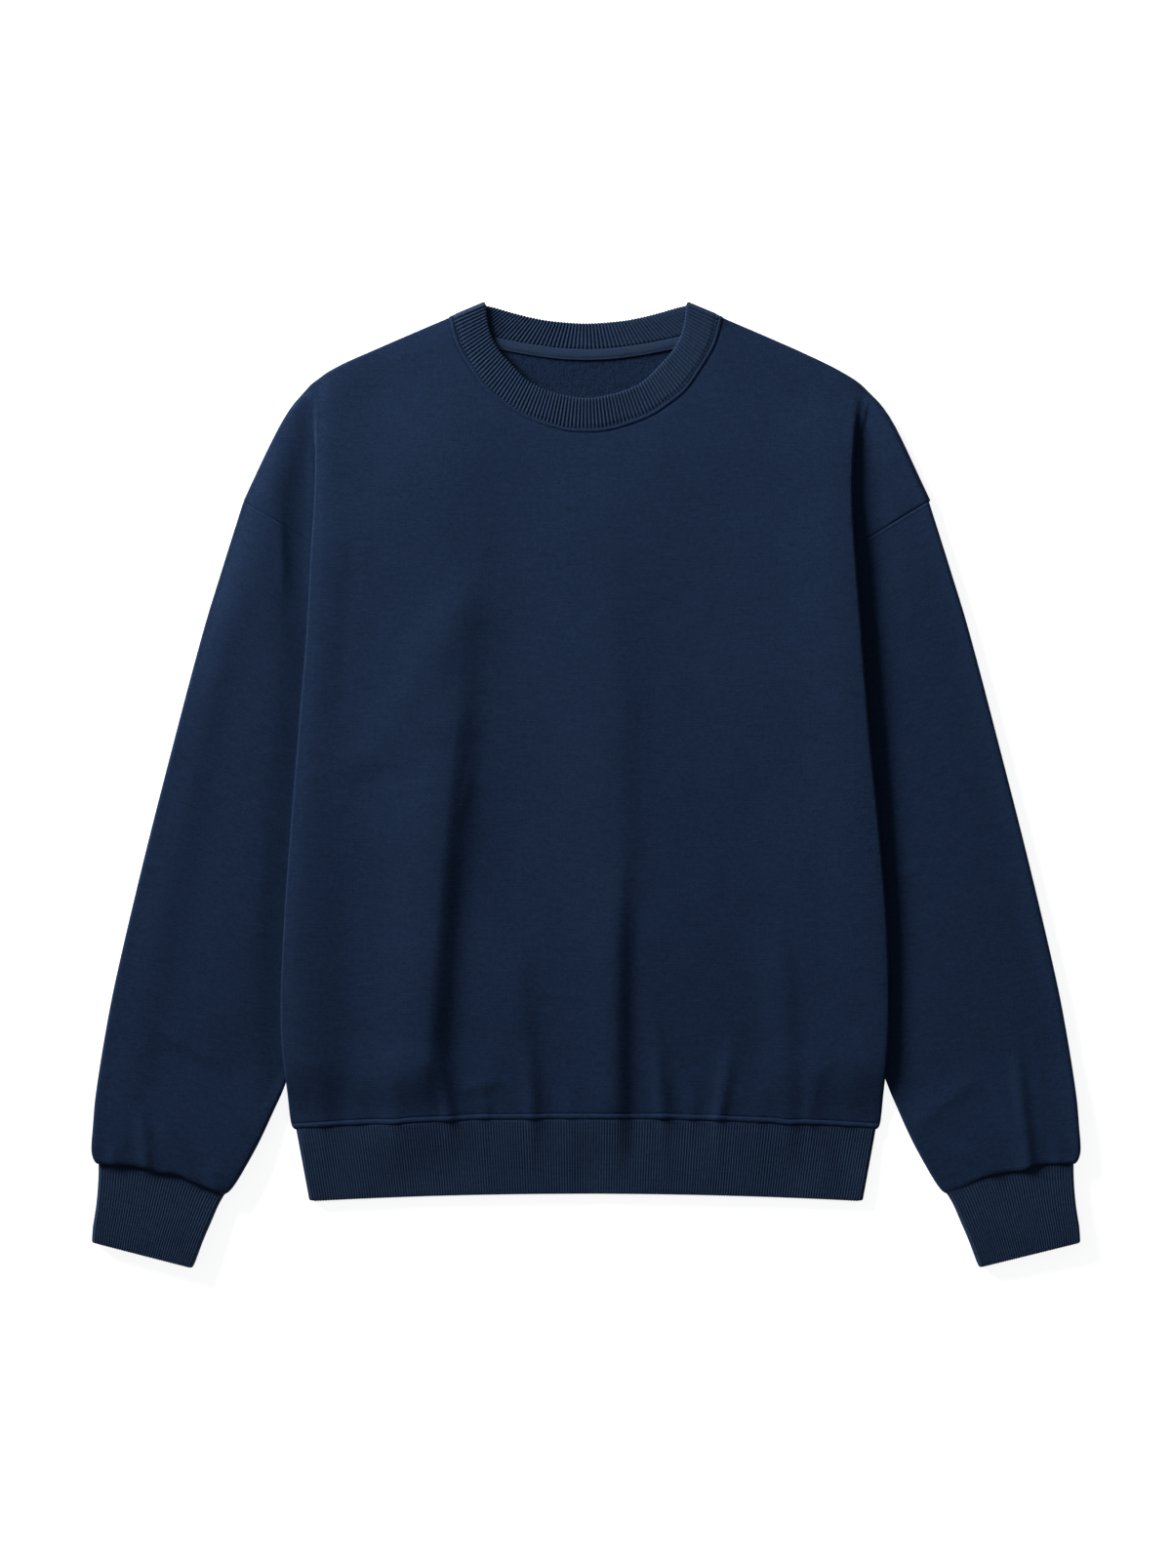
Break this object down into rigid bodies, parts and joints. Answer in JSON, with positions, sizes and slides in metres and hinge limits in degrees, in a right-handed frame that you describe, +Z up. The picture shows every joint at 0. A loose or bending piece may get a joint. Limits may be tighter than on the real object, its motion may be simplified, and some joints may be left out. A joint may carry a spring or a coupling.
{
  "type": "crewneck sweatshirt laid flat",
  "caption": "Long-sleeved crewneck sweatshirt in brushed fleece with dropped shoulders and rib-knit neckband, cuffs and hem band, laid flat with its sleeves down.",
  "frame": {"origin": "on the surface the garment lies on, under the middle of its outline", "axes": "+Z up from that surface, out of the front of the garment; +Y from the hem towards the collar"},
  "size_m": [0.7694, 0.7524, 0.0124],
  "materials": {
    "fleece": "matt brushed-back fleece, fine jersey face",
    "rib": "matt one-by-one rib knit",
    "tape": "matt plain knit tape"
  },
  "bodies": {
    "root": {"body_front": "fleece", "body_back": "fleece", "sleeve_left": "fleece", "sleeve_right": "fleece", "collar": "rib", "hem_band": "rib", "cuff_left": "rib", "cuff_right": "rib", "neck_tape": "tape"}
  },
  "joints": []
}
